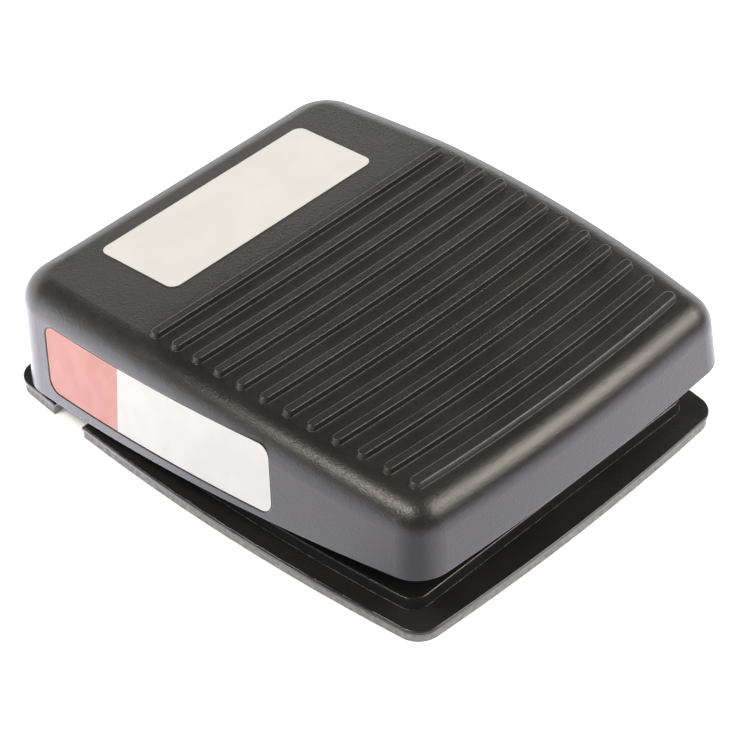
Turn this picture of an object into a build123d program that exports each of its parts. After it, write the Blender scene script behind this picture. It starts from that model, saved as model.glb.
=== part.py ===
from build123d import *
from math import cos, hypot, radians, sin, tan
import os

# Industrial foot switch. Millimetres. X runs across the pedal, +Y points to the hinged
# rear end where the cable comes in, -Y to the free end that the toe presses, +Z is up.
# The origin is in the middle of the rubber underside, on the floor.
# The cover is drawn level, as when it is pressed home, and is then tilted to rest.

# Plan outline shared by the cover and the base
HALF_WIDTH = 54.2
WIDEST_Y = 11.0
SIDE_BOW_RADIUS = 530.0
REAR_Y = 63.5
FRONT_Y = -63.3
FRONT_BOW_RADIUS = 640.0

# Hinge and travel
HINGE_Y = 44.3
HINGE_Z = 9.5
REST_TILT = 7.0
HINGE_PIN_DIAMETER = 4.0
HINGE_RUNNING_GAP = 0.08

# Cover
RIM_Z = 5.95
COVER_WALL = 2.4
COVER_ROOF = 2.6
SIDE_DRAFT = 4.1
REAR_DRAFT = 2.5
FRONT_DRAFT = 0.5
REAR_CORNER_RADIUS = 11.0
FRONT_CORNER_RADIUS = 8.2
TOP_EDGE_RADIUS = 7.0
CAVITY_EDGE_RADIUS = 4.0
CAVITY_CORNER_CUT = 2.0
ROOF_EDGE_TOLERANCE = 0.6
CREST_Y = 20.8
CREST_Z = 32.6
CREST_BLEND_RADIUS = 60.0
LABEL_PLANE_SLOPE = 0.0208
TREAD_START_SLOPE = 0.0708
TREAD_CURVE = 0.000712
OVERSHOOT = 12.0

# Tread ribs
RIB_COUNT = 12
RIB_FIRST_Y = 18.1
RIB_PITCH = 6.615
RIB_TOP_WIDTH = 2.0
RIB_HEIGHT = 1.3
RIB_DRAFT = 17.0
RIB_ROOT_DEPTH = 0.5
RIB_EDGE_RADIUS = 0.2
RIB_SIDE_MARGIN = 8.2
RIB_FIRST_BOW = 0.3
RIB_LAST_BOW = 1.5
FRONT_RIB_EXTRA_WIDTH = 0.7
FRONT_RIB_EDGE_RADIUS = 0.5

# Features inside the cover
HINGE_BOSS_WIDTH = 7.5
HINGE_BOSS_SIDE_GAP = 0.5
HINGE_BOSS_RADIUS = 5.0
ROOF_RIB_THICKNESS = 1.6
ROOF_RIB_DEPTH = 5.0
ROOF_RIB_SIDE_INSET = 7.2
ROOF_RIB_FRONT_Y = -55.0
ROOF_RIB_REAR_Y = 6.0
CROSS_RIB_Y = -5.0
STOP_Y = -40.0
STOP_STEP_X = 15.0
STOP_POST_DIAMETER = 9.0
STOP_GAP = 0.45
SPRING_RING_LEVEL_Y = -22.4
SPRING_RING_DEPTH = 5.0
SPRING_RING_WALL = 2.0
SPRING_RING_CLEARANCE = 1.0
CORD_NOTCH_HALF_WIDTH = 9.5
CORD_NOTCH_TOP_Z = 22.5

# Labels, both blank
TOP_LABEL_X = 0.9
TOP_LABEL_Y = 39.8
TOP_LABEL_WIDTH = 63.5
TOP_LABEL_DEPTH = 24.2
TOP_LABEL_CORNER = 2.3
SIDE_LABEL_Y = 13.6
SIDE_LABEL_Z = 17.1
SIDE_LABEL_LENGTH = 70.6
SIDE_LABEL_HEIGHT = 17.3
SIDE_LABEL_CORNER = 3.0
SIDE_LABEL_TURN = 1.0
LABEL_THICKNESS = 0.15
LABEL_RECESS_DEPTH = 0.25
LABEL_RECESS_MARGIN = 0.35

# Base plate and rubber pad
PAD_THICKNESS = 2.4
PLATE_THICKNESS = 0.9
BASE_SIDE_INSET = 0.6
BASE_FRONT_INSET = 1.4
BASE_REAR_EXTRA = 0.5
BASE_FRONT_CORNER = 5.8
BASE_REAR_CORNER = 5.6
PAD_INSET = 0.3
PLATE_EDGE_RADIUS = 0.35
DECK_TOP_Z = 6.1
DECK_SIDE_INSET = 5.4
DECK_FRONT_Y = -54.3
DECK_REAR_Y = 34.0
DECK_CORNER = 4.2
DECK_SLOPE_RUN = 0.4
DECK_EDGE_RADIUS = 0.5
DECK_ROOT_DEPTH = 0.3
PAD_GROOVE_WIDTH = 2.0
PAD_GROOVE_DEPTH = 0.6
PAD_GROOVE_PITCH = 11.0
PAD_GROOVE_HALF_LENGTH = 34.0
PAD_GROOVES_EACH_WAY = 4
NOTCH_HALF_LENGTH = 5.0
NOTCH_CORNER = 1.6

# Fixing holes through base and pad
FIX_SIDE_INSET = 16.2
FIX_FRONT_Y = -44.0
FIX_REAR_Y = 24.0
FIX_HOLE_DIAMETER = 5.2

# Hinge ears, pins and clips
EAR_SIDE_INSET = 9.2
EAR_WIDTH = 9.0
EAR_BEND_RADIUS = 0.8
PIN_HEAD_DIAMETER = 6.8
PIN_HEAD_THICKNESS = 1.6
PIN_TAIL = 2.6
PIN_END_CHAMFER = 0.4
CLIP_DIAMETER = 8.4
CLIP_THICKNESS = 0.8
CLIP_GAP = 0.25
CLIP_MOUTH = 3.0
GROOVE_DEPTH = 0.5

# Cable inlet
INLET_Y = 54.0
INLET_Z = 11.5
INLET_TAB_HALF_WIDTH = 10.0
INLET_BORE = 7.5
BUSHING_NECK_DIAMETER = 12.4
BUSHING_FLANGE_DIAMETER = 14.6
BUSHING_FLANGE_THICKNESS = 2.0
BUSHING_COLLAR_DIAMETER = 14.0
BUSHING_COLLAR_THICKNESS = 2.2
BUSHING_FIT_GAP = 0.1
BUSHING_ROUND_SHARE = 0.35
BUSHING_BEVEL_SHARE = 0.4

# Cord saddle with its two screws
SADDLE_Y = 44.0
SADDLE_DEPTH = 8.0
SADDLE_THICKNESS = 1.2
SADDLE_CORD_RADIUS = 3.75
SADDLE_SQUEEZE = 0.4
SADDLE_CORNER = 3.2
SADDLE_FOOT = 8.0
SADDLE_SCREW_X = 9.4

# Earth terminal
EARTH_X = -24.0
EARTH_Y = 43.0
EARTH_RING_DIAMETER = 8.0
EARTH_TAG_LENGTH = 10.0
EARTH_TAG_WIDTH = 4.0
EARTH_TAG_CORNER = 1.6
EARTH_EYE_DIAMETER = 1.6
EARTH_EYE_FROM_END = 2.6

# Snap-action switch
PLUNGER_Y = 21.3
SWITCH_CENTRE_X = 5.0
SWITCH_LENGTH = 49.2
SWITCH_WIDTH = 17.5
SWITCH_BOTTOM_Z = 8.0
SWITCH_CASE_HEIGHT = 11.8
SWITCH_LID_HEIGHT = 1.8
SWITCH_WALL = 1.6
SWITCH_HOLE_FROM_END = 11.9
SWITCH_HOLE_Z = 10.9
SWITCH_HOLE_DIAMETER = 4.2
SWITCH_TUBE_DIAMETER = 5.6
PLUNGER_DIAMETER = 6.0
PLUNGER_GAP = 0.08
PLUNGER_BOTTOM_Z = 18.6
PLUNGER_COLLAR_DIAMETER = 8.8
PLUNGER_COLLAR_THICKNESS = 0.8
PLUNGER_DOME_EDGE = 1.1
CONTACT_GAP = 0.55
CONTACT_STRIP = 0.8
CONTACT_STRIP_WIDTH = 6.0
TERMINAL_REACH = 9.0
TERMINAL_INSIDE = 6.0
COMMON_Z = 14.0
CLOSED_Z = 16.4
OPEN_Z = 12.2
OPEN_SHIFT_Y = -3.8
CLOSED_SHIFT_Y = 3.8
BLADE_THICKNESS = 0.3
CONTACT_BUTTON_DIAMETER = 3.0
CONTACT_BUTTON_HEIGHT = 0.9
CONTACT_BUTTON_INSET = 5.0
BLADE_WIDTH = 4.0
BLADE_TAIL_INSET = 2.2
BLADE_TIP_INSET = 4.2
BLADE_TIP_LENGTH = 4.5
BLADE_TIP_WIDTH = 12.4
BLADE_TIP_CORNER = 1.2
BLADE_WINDOW_WIDTH = 1.6
BLADE_WINDOW_FROM_TAIL = 12.0
BLADE_WINDOW_FROM_TIP = 8.0
SWITCH_CORNER = 1.0
SWITCH_LID_BEVEL = 0.5
TUBE_SHORTENING = 0.5
TERMINAL_CORNER = 1.5
TERMINAL_SCREW_DEPTH = 2.0

# Switch bracket
BRACKET_THICKNESS = 1.2
BRACKET_TO_FIX_HOLE = 7.0
BRACKET_FRONT_Y = 3.5
BRACKET_UPRIGHT_TOP_Z = 19.0
BRACKET_UPRIGHT_GAP = 0.1
BRACKET_RIVET_FROM_END = 5.0
BRACKET_RIVET_Y = 8.0
BRACKET_CORNER = 3.0
BRACKET_UPRIGHT_MARGIN = 7.0
CARD_THICKNESS = 0.5
CARD_CORNER = 1.5
CARD_LEFT_INSET = 0.5
CARD_RIGHT_INSET = 5.5
CARD_SIDE_INSET = 0.2

# Actuating screw in the cover
ACTUATOR_Y = 20.4
ACTUATOR_FACE_Z = 23.0
ACTUATOR_THREAD_DIAMETER = 5.0
ACTUATOR_HEAD_THICKNESS = 2.6
ACTUATOR_NUT_THICKNESS = 2.5
ACTUATOR_FLATS = 8.0
ACTUATOR_BOSS_DIAMETER = 13.0
ACTUATOR_BLIND_TOP_Z = 31.2
ACTUATOR_BLIND_GAP = 0.3
THREAD_GAP = 0.05

# Return spring and its seat
SPRING_Y = -20.0
SPRING_OUTER_DIAMETER = 16.0
SPRING_WIRE_DIAMETER = 1.8
SPRING_TURNS = 5.5
SPRING_TOP_GAP = 0.35
SEAT_FLANGE_DIAMETER = 19.0
SEAT_FLANGE_THICKNESS = 1.2
SEAT_SPIGOT_DIAMETER = 11.0
SEAT_SPIGOT_HEIGHT = 5.0
SEAT_SPIGOT_BEVEL = 1.2

# Stop bumpers
BUMPER_DIAMETER = 12.0
BUMPER_TOP_Z = 12.0
BUMPER_NECK_DIAMETER = 5.6
BUMPER_HEAD_DIAMETER = 8.6
BUMPER_HEAD_THICKNESS = 1.6
BUMPER_DOME = 1.2

# Small screws and rivets
SMALL_SCREW_DIAMETER = 3.0
SMALL_HEAD_DIAMETER = 5.6
SMALL_HEAD_HEIGHT = 2.0
HEAD_ROUND_SHARE = 0.45
SLOT_WIDTH = 0.8
SLOT_DEPTH = 0.9
RIVET_DIAMETER = 3.0
RIVET_HEAD_DIAMETER = 5.4
RIVET_HEAD_HEIGHT = 1.0
RIVET_ROUND_SHARE = 0.6
RIVET_TAIL_DIAMETER = 4.8
SWITCH_SCREW_HEAD_DIAMETER = 7.0
SWITCH_SCREW_HEAD_HEIGHT = 2.4
SWITCH_NUT_FLATS = 7.0
SWITCH_NUT_THICKNESS = 3.2
SWITCH_SCREW_TIP = 0.8
HOLE_GAP = 0.1
SEAM = 0.05

# Heights and places that follow from the values above
PLATE_TOP_Z = PAD_THICKNESS + PLATE_THICKNESS
DECK_UNDER_Z = DECK_TOP_Z - PLATE_THICKNESS
EAR_INNER_X = HALF_WIDTH - EAR_SIDE_INSET
EAR_OUTER_X = EAR_INNER_X + PLATE_THICKNESS
HINGE_BOSS_OUTER_X = EAR_INNER_X - HINGE_BOSS_SIDE_GAP
HINGE_BOSS_INNER_X = HINGE_BOSS_OUTER_X - HINGE_BOSS_WIDTH
ROOF_RIB_REACH_X = HALF_WIDTH - ROOF_RIB_SIDE_INSET
FIX_HALF_X = HALF_WIDTH - FIX_SIDE_INSET
STOP_X = FIX_HALF_X - STOP_STEP_X
BRACKET_HALF_LENGTH = FIX_HALF_X - BRACKET_TO_FIX_HOLE
BRACKET_RIVET_X = BRACKET_HALF_LENGTH - BRACKET_RIVET_FROM_END
SPRING_RING_BORE = SPRING_OUTER_DIAMETER + 2 * SPRING_RING_CLEARANCE
SWITCH_HOLE_SPACING = SWITCH_LENGTH - 2 * SWITCH_HOLE_FROM_END
CASE_TOP_Z = SWITCH_BOTTOM_Z + SWITCH_CASE_HEIGHT
LID_TOP_Z = CASE_TOP_Z + SWITCH_LID_HEIGHT
SWITCH_FRONT_Y = PLUNGER_Y - SWITCH_WIDTH / 2
SWITCH_REAR_Y = PLUNGER_Y + SWITCH_WIDTH / 2
SWITCH_LEFT_X = SWITCH_CENTRE_X - SWITCH_LENGTH / 2
SWITCH_RIGHT_X = SWITCH_CENTRE_X + SWITCH_LENGTH / 2
SEAT_TOP_Z = DECK_TOP_Z + SEAT_FLANGE_THICKNESS


def half_width(y):
    """Half of the plan width at y: the side is a long shallow arc, widest at WIDEST_Y."""
    return HALF_WIDTH - (y - WIDEST_Y) ** 2 / (2 * SIDE_BOW_RADIUS)


def tread_slope(y):
    """Fall of the level cover's top towards the front at y."""
    if y >= CREST_Y:
        return LABEL_PLANE_SLOPE
    return TREAD_START_SLOPE + 2 * TREAD_CURVE * (CREST_Y - y)


def roof_height(y):
    """Height of the level cover's top at y: a flat rear plane, then a curve that falls forward."""
    if y >= CREST_Y:
        return CREST_Z + LABEL_PLANE_SLOPE * (y - CREST_Y)
    back = CREST_Y - y
    return CREST_Z - TREAD_START_SLOPE * back - TREAD_CURVE * back ** 2


def bowed_plan(z, side, front, rear, front_corner, rear_corner, front_straight_y=None, rear_y=REAR_Y):
    """Plan outline at height z, drawn in by side, front and rear, with bowed sides and front."""
    rear_line = rear_y - rear
    front_mid = FRONT_Y + front
    wide = HALF_WIDTH - side
    rear_half = half_width(rear_line) - side
    if front_straight_y is None:
        front_half = half_width(front_mid) - side
        corner_y = front_mid + front_half ** 2 / (2 * FRONT_BOW_RADIUS)
        front_edge = ThreePointArc((-front_half, corner_y), (0, front_mid), (front_half, corner_y))
    else:
        corner_y = front_straight_y
        front_half = half_width(corner_y) - side
        front_edge = Line((-front_half, corner_y), (front_half, corner_y))
    left = ThreePointArc((-rear_half, rear_line), (-wide, WIDEST_Y), (-front_half, corner_y))
    right = ThreePointArc((front_half, corner_y), (wide, WIDEST_Y), (rear_half, rear_line))
    rear_edge = Line((rear_half, rear_line), (-rear_half, rear_line))
    plan = make_face([left, front_edge, right, rear_edge])
    middle = (rear_line + corner_y) / 2
    plan = fillet(plan.vertices().filter_by(lambda v: v.Y > middle), rear_corner)
    near = plan.vertices().filter_by(lambda v: v.Y < middle)
    near = [v for v in near if abs(abs(v.X) - front_half) < 0.01]
    plan = fillet(near, front_corner)
    return Pos(0, 0, z) * plan


def rested(shape):
    """Tilt a level cover piece about the hinge into the rest position."""
    return shape.rotate(Axis((0, HINGE_Y, HINGE_Z), (1, 0, 0)), -REST_TILT)


def cylinder_z(x, y, bottom, top, diameter):
    """Upright round bar."""
    return Pos(x, y, (bottom + top) / 2) * Cylinder(diameter / 2, top - bottom)


def cylinder_x(x0, x1, y, z, diameter):
    """Round bar along X."""
    return Pos((x0 + x1) / 2, y, z) * Rot(0, 90, 0) * Cylinder(diameter / 2, abs(x1 - x0))


def cylinder_y(x, y0, y1, z, diameter):
    """Round bar along Y."""
    return Pos(x, (y0 + y1) / 2, z) * Rot(90, 0, 0) * Cylinder(diameter / 2, abs(y1 - y0))


def block(x0, x1, y0, y1, z0, z1):
    """Box between two corners."""
    return Pos((x0 + x1) / 2, (y0 + y1) / 2, (z0 + z1) / 2) * Box(x1 - x0, y1 - y0, z1 - z0)


def fuse(parts):
    """Join a list of shapes into one part."""
    whole = parts[0]
    for piece in parts[1:]:
        whole = whole + piece
    return whole


def mirrored_pair(shape):
    """The shape and its mirror image across the middle of the pedal."""
    return shape + mirror(shape, about=Plane.YZ)


def under_profile(drop):
    """Everything below the cover's top surface lowered by drop."""
    low = RIM_Z - OVERSHOOT
    front = FRONT_Y - OVERSHOOT
    rear = REAR_Y + OVERSHOOT
    middle = (CREST_Y + front) / 2
    crest = (CREST_Y, CREST_Z - drop)
    control = (middle, CREST_Z - drop - TREAD_START_SLOPE * (CREST_Y - middle))
    nose = (front, roof_height(front) - drop)
    tail = (rear, roof_height(rear) - drop)
    curve = Bezier(crest, control, nose)
    lines = Polyline(nose, (front, low), (rear, low), tail, crest)
    side_view = make_face([curve, *lines.edges()])
    crease = [v for v in side_view.vertices() if hypot(v.X - crest[0], v.Y - crest[1]) < 0.01]
    side_view = fillet(crease, CREST_BLEND_RADIUS)
    return extrude(Plane.YZ * side_view, amount=HALF_WIDTH + OVERSHOOT, both=True)


def cover_body(inset, bottom, drop, top_radius, corner_cut=0.0):
    """Drafted block with the cover's outline drawn in by inset, its top lowered by drop."""
    top = CREST_Z + OVERSHOOT / 2
    rise_low = bottom - RIM_Z
    rise_high = top - RIM_Z
    plans = []
    for z, rise in ((bottom, rise_low), (top, rise_high)):
        plans.append(bowed_plan(
            z,
            inset + rise * tan(radians(SIDE_DRAFT)),
            inset + rise * tan(radians(FRONT_DRAFT)),
            inset + rise * tan(radians(REAR_DRAFT)),
            FRONT_CORNER_RADIUS - corner_cut,
            REAR_CORNER_RADIUS - corner_cut,
        ))
    body = loft(plans, ruled=True) & under_profile(drop)
    if top_radius > 0:
        roof_edges = []
        for edge in body.edges():
            middle = edge.center()
            box = edge.bounding_box()
            on_roof = abs(middle.Z - (roof_height(middle.Y) - drop)) < ROOF_EDGE_TOLERANCE
            across = box.size.X > HALF_WIDTH and abs(middle.Y) < abs(FRONT_Y) - OVERSHOOT
            if on_roof and not across:
                roof_edges.append(edge)
        body = fillet(roof_edges, top_radius)
    return body


def tread_ribs():
    """Twelve raised bars, nearly straight at the rear and bowed like the front edge at the front."""
    bars = []
    for index in range(RIB_COUNT):
        share = index / (RIB_COUNT - 1)
        y = RIB_FIRST_Y - index * RIB_PITCH
        bow = RIB_FIRST_BOW + (RIB_LAST_BOW - RIB_FIRST_BOW) * (1 - (1 - share) ** 2)
        front_rib = index == RIB_COUNT - 1
        width = RIB_TOP_WIDTH + (FRONT_RIB_EXTRA_WIDTH if front_rib else 0)
        edge_radius = FRONT_RIB_EDGE_RADIUS if front_rib else RIB_EDGE_RADIUS
        reach = half_width(y) - RIB_SIDE_MARGIN
        root_width = width + 2 * (RIB_HEIGHT + RIB_ROOT_DEPTH) * tan(radians(RIB_DRAFT))
        half_line = reach - root_width / 2
        seat = Plane(
            origin=(0, y, roof_height(y)),
            x_dir=(1, 0, 0),
            z_dir=(0, -tread_slope(y), 1),
        ).offset(-RIB_ROOT_DEPTH)
        centre_line = ThreePointArc((-half_line, bow), (0, 0), (half_line, bow))
        outline = seat * SlotArc(centre_line, root_width)
        bar = extrude(outline, amount=RIB_HEIGHT + RIB_ROOT_DEPTH, taper=RIB_DRAFT)
        crown = bar.faces().sort_by(Axis(seat.origin, seat.z_dir))[-1]
        bars.append(fillet(crown.edges(), edge_radius))
    return bars


def stop_post(x):
    """Post that hangs from the roof over a bumper, with a slight gap left when pressed home."""
    foot = BUMPER_TOP_Z + STOP_GAP
    return cylinder_z(x, STOP_Y, foot, CREST_Z + OVERSHOOT, STOP_POST_DIAMETER)


def hinge_boss():
    """Lug of the cover on the inner side of the ear, bored for the hinge pin."""
    top = CREST_Z + OVERSHOOT
    outline = Plane.YZ * (
        Pos(HINGE_Y, (HINGE_Z + top) / 2) * Rectangle(2 * HINGE_BOSS_RADIUS, top - HINGE_Z)
        + Pos(HINGE_Y, HINGE_Z) * Circle(HINGE_BOSS_RADIUS)
    )
    lug = extrude(outline, amount=HINGE_BOSS_OUTER_X - HINGE_BOSS_INNER_X)
    return Pos(HINGE_BOSS_INNER_X, 0, 0) * lug


def roof_web(x0, x1, y0, y1, depth):
    """Stiffening web under the roof: a thin wall whose lower edge follows the roof."""
    wall = block(x0, x1, y0, y1, RIM_Z, CREST_Z + OVERSHOOT)
    return wall - under_profile(COVER_ROOF + depth)


def label_plan(length, height, corner, grow=0.0):
    """Rounded blank label outline."""
    return RectangleRounded(length + 2 * grow, height + 2 * grow, corner + grow)


def side_label_prism(grow):
    """Bar along X with the side label's outline, wide enough to cross the left wall."""
    turned = Rot(0, 0, SIDE_LABEL_TURN) * label_plan(
        SIDE_LABEL_LENGTH, SIDE_LABEL_HEIGHT, SIDE_LABEL_CORNER, grow
    )
    outline = Plane.YZ * (Pos(SIDE_LABEL_Y, SIDE_LABEL_Z) * turned)
    bar = extrude(outline, amount=OVERSHOOT)
    return Pos(-HALF_WIDTH - 1, 0, 0) * bar


def make_cover():
    """Moulded treadle cover: a drafted shell with a ribbed top, lugs, posts and webs inside."""
    solid = cover_body(0.0, RIM_Z, 0.0, TOP_EDGE_RADIUS)
    cavity = cover_body(COVER_WALL, RIM_Z - 1.0, COVER_ROOF, CAVITY_EDGE_RADIUS,
                        CAVITY_CORNER_CUT)
    boss = mirrored_pair(hinge_boss())
    posts = mirrored_pair(stop_post(STOP_X))
    ring = cylinder_z(
        0, SPRING_RING_LEVEL_Y, RIM_Z, CREST_Z + OVERSHOOT, SPRING_RING_BORE + 2 * SPRING_RING_WALL
    )
    ring = ring - under_profile(COVER_ROOF + SPRING_RING_DEPTH)
    ring = ring - cylinder_z(0, SPRING_RING_LEVEL_Y, RIM_Z, CREST_Z + OVERSHOOT, SPRING_RING_BORE)
    actuator_seat = ACTUATOR_FACE_Z + ACTUATOR_HEAD_THICKNESS + ACTUATOR_NUT_THICKNESS
    seat = cylinder_z(0, ACTUATOR_Y, actuator_seat, CREST_Z + OVERSHOOT, ACTUATOR_BOSS_DIAMETER)
    half = ROOF_RIB_THICKNESS / 2
    long_web = roof_web(
        STOP_X - half, STOP_X + half, ROOF_RIB_FRONT_Y, ROOF_RIB_REAR_Y, ROOF_RIB_DEPTH
    )
    webs = mirrored_pair(long_web)
    for y in (STOP_Y, CROSS_RIB_Y):
        webs = webs + roof_web(
            -ROOF_RIB_REACH_X, ROOF_RIB_REACH_X, y - half, y + half, ROOF_RIB_DEPTH
        )
    shell = solid - cavity
    inside = fuse([boss, posts, ring, seat, webs]) & solid
    shell = shell + inside
    shell = fuse([shell, *tread_ribs()])
    pin_hole = HINGE_PIN_DIAMETER + 2 * HINGE_RUNNING_GAP
    bore = cylinder_x(HINGE_BOSS_INNER_X - 1, HINGE_BOSS_OUTER_X + 1, HINGE_Y, HINGE_Z, pin_hole)
    shell = shell - mirrored_pair(bore)
    shell = shell - cylinder_z(
        0, ACTUATOR_Y, RIM_Z, ACTUATOR_BLIND_TOP_Z, ACTUATOR_THREAD_DIAMETER + 2 * THREAD_GAP
    )
    notch_low = CORD_NOTCH_TOP_Z - CORD_NOTCH_HALF_WIDTH
    notch = block(
        -CORD_NOTCH_HALF_WIDTH, CORD_NOTCH_HALF_WIDTH,
        REAR_Y - 3 * COVER_WALL, REAR_Y + COVER_WALL, RIM_Z - 1, notch_low,
    ) + cylinder_y(
        0, REAR_Y - 3 * COVER_WALL, REAR_Y + COVER_WALL, notch_low, 2 * CORD_NOTCH_HALF_WIDTH
    )
    shell = shell - notch
    recess = side_label_prism(LABEL_RECESS_MARGIN) - cover_body(
        LABEL_RECESS_DEPTH, RIM_Z, 0.0, 0.0
    )
    return shell - recess


def make_side_label():
    """Blank adhesive label lying in the shallow recess of the left wall."""
    outer = cover_body(LABEL_RECESS_DEPTH - LABEL_THICKNESS, RIM_Z, 0.0, 0.0)
    inner = cover_body(LABEL_RECESS_DEPTH, RIM_Z, 0.0, 0.0)
    return (side_label_prism(0.0) & outer) - inner


def make_top_label():
    """Blank rating label on the flat rear plane of the cover."""
    seat = Plane(
        origin=(TOP_LABEL_X, TOP_LABEL_Y, roof_height(TOP_LABEL_Y)),
        x_dir=(1, 0, 0),
        z_dir=(0, -LABEL_PLANE_SLOPE, 1),
    )
    outline = seat * label_plan(TOP_LABEL_WIDTH, TOP_LABEL_DEPTH, TOP_LABEL_CORNER)
    return extrude(outline, amount=LABEL_THICKNESS)


def base_plan(z, inset):
    """Outline of the base at height z, drawn in by inset all round."""
    return bowed_plan(
        z,
        BASE_SIDE_INSET + inset,
        BASE_FRONT_INSET + inset,
        inset - BASE_REAR_EXTRA,
        BASE_FRONT_CORNER,
        BASE_REAR_CORNER,
    )


def base_cutouts(grow):
    """Notches beside the ears and at the inlet tab, where the metal of the tabs came from."""
    side = block(
        EAR_OUTER_X - grow, HALF_WIDTH + OVERSHOOT,
        HINGE_Y - NOTCH_HALF_LENGTH - grow, HINGE_Y + NOTCH_HALF_LENGTH + grow,
        -1, PLATE_TOP_Z + 1,
    )
    side = fillet(side.edges().filter_by(Axis.Z).sort_by(Axis.X)[:2], NOTCH_CORNER)
    rear = block(
        -INLET_TAB_HALF_WIDTH - grow, INLET_TAB_HALF_WIDTH + grow,
        INLET_Y + PLATE_THICKNESS - grow, REAR_Y + OVERSHOOT, -1, PLATE_TOP_Z + 1,
    )
    return mirrored_pair(side) + rear


def fixing_places():
    """Centres of the four floor fixing holes."""
    return [(x, y) for x in (-FIX_HALF_X, FIX_HALF_X) for y in (FIX_FRONT_Y, FIX_REAR_Y)]


def deck_block(shrink, bottom, top, run):
    """Raised deck with sloping sides, drawn in by shrink all round."""
    plans = []
    for z, grow in ((bottom, run), (top, 0.0)):
        plans.append(bowed_plan(
            z,
            BASE_SIDE_INSET + DECK_SIDE_INSET + shrink - grow,
            0.0,
            shrink - grow,
            DECK_CORNER - shrink + grow,
            DECK_CORNER - shrink + grow,
            front_straight_y=DECK_FRONT_Y + shrink - grow,
            rear_y=DECK_REAR_Y,
        ))
    return loft(plans, ruled=True)


def hinge_ear():
    """Ear bent up from the plate's side, with a round head about the hinge."""
    radius = EAR_WIDTH / 2
    outline = Plane.YZ * (
        Pos(HINGE_Y, (PAD_THICKNESS + HINGE_Z) / 2) * Rectangle(EAR_WIDTH, HINGE_Z - PAD_THICKNESS)
        + Pos(HINGE_Y, HINGE_Z) * Circle(radius)
    )
    return Pos(EAR_INNER_X, 0, 0) * extrude(outline, amount=PLATE_THICKNESS)


def bend_strip(x, y0, y1):
    """Concave bend between the plate's top and the inner face of an ear at x."""
    bend_top = PLATE_TOP_Z + EAR_BEND_RADIUS
    corner = block(x - EAR_BEND_RADIUS, x + SEAM, y0, y1, PLATE_TOP_Z - SEAM, bend_top)
    return corner - cylinder_y(
        x - EAR_BEND_RADIUS, y0 - 1, y1 + 1, bend_top, 2 * EAR_BEND_RADIUS
    )


def make_base_plate():
    """Pressed steel base: flat flange, raised deck, two hinge ears and the inlet tab."""
    flange = extrude(base_plan(PAD_THICKNESS, 0.0), amount=PLATE_THICKNESS)
    flange = flange - base_cutouts(0.0)
    rim = [
        e for e in flange.edges()
        if abs(e.center().Z - PLATE_TOP_Z) < 0.01 and e.bounding_box().size.Z < 0.01
    ]
    flange = fillet(rim, PLATE_EDGE_RADIUS)
    deck = deck_block(0.0, PLATE_TOP_Z - DECK_ROOT_DEPTH, DECK_TOP_Z, DECK_SLOPE_RUN)
    crown = deck.faces().sort_by(Axis.Z)[-1]
    deck = fillet(crown.edges(), DECK_EDGE_RADIUS)
    hollow = deck_block(PLATE_THICKNESS, PAD_THICKNESS - 1, DECK_UNDER_Z, DECK_SLOPE_RUN)
    ears = mirrored_pair(hinge_ear())
    ear_low = HINGE_Y - EAR_WIDTH / 2
    ear_high = HINGE_Y + EAR_WIDTH / 2
    bends = mirrored_pair(bend_strip(EAR_INNER_X, ear_low, ear_high))
    tab_outline = Plane.XZ * (
        Pos(0, (PAD_THICKNESS + INLET_Z) / 2)
        * Rectangle(2 * INLET_TAB_HALF_WIDTH, INLET_Z - PAD_THICKNESS)
        + Pos(0, INLET_Z) * Circle(INLET_TAB_HALF_WIDTH)
    )
    tab = Pos(0, INLET_Y + PLATE_THICKNESS, 0) * extrude(tab_outline, amount=PLATE_THICKNESS)
    tab = tab & block(-HALF_WIDTH, HALF_WIDTH, FRONT_Y, REAR_Y, PAD_THICKNESS, CREST_Z)
    plate = fuse([flange, deck, ears, bends, tab]) - hollow
    cuts = [cylinder_z(x, y, 0, DECK_TOP_Z + 1, FIX_HOLE_DIAMETER) for x, y in fixing_places()]
    cuts.append(cylinder_x(
        -HALF_WIDTH, HALF_WIDTH, HINGE_Y, HINGE_Z, HINGE_PIN_DIAMETER + 2 * HINGE_RUNNING_GAP
    ))
    cuts.append(cylinder_y(
        0, INLET_Y - 1, INLET_Y + 2, INLET_Z, BUSHING_NECK_DIAMETER + 2 * BUSHING_FIT_GAP
    ))
    for x in (-STOP_X, STOP_X):
        cuts.append(cylinder_z(x, STOP_Y, 0, DECK_TOP_Z + 1, BUMPER_NECK_DIAMETER + 2 * HOLE_GAP))
    for x in (-BRACKET_RIVET_X, BRACKET_RIVET_X):
        cuts.append(cylinder_z(x, BRACKET_RIVET_Y, 0, DECK_TOP_Z + 1, RIVET_DIAMETER + 2 * HOLE_GAP))
    cuts.append(cylinder_z(0, SPRING_Y, 0, DECK_TOP_Z + 1, RIVET_DIAMETER + 2 * HOLE_GAP))
    for x, y in ((-SADDLE_SCREW_X, SADDLE_Y), (SADDLE_SCREW_X, SADDLE_Y), (EARTH_X, EARTH_Y)):
        cuts.append(cylinder_z(x, y, 0, DECK_TOP_Z + 1, SMALL_SCREW_DIAMETER + 2 * THREAD_GAP))
    return plate - fuse(cuts)


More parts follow.
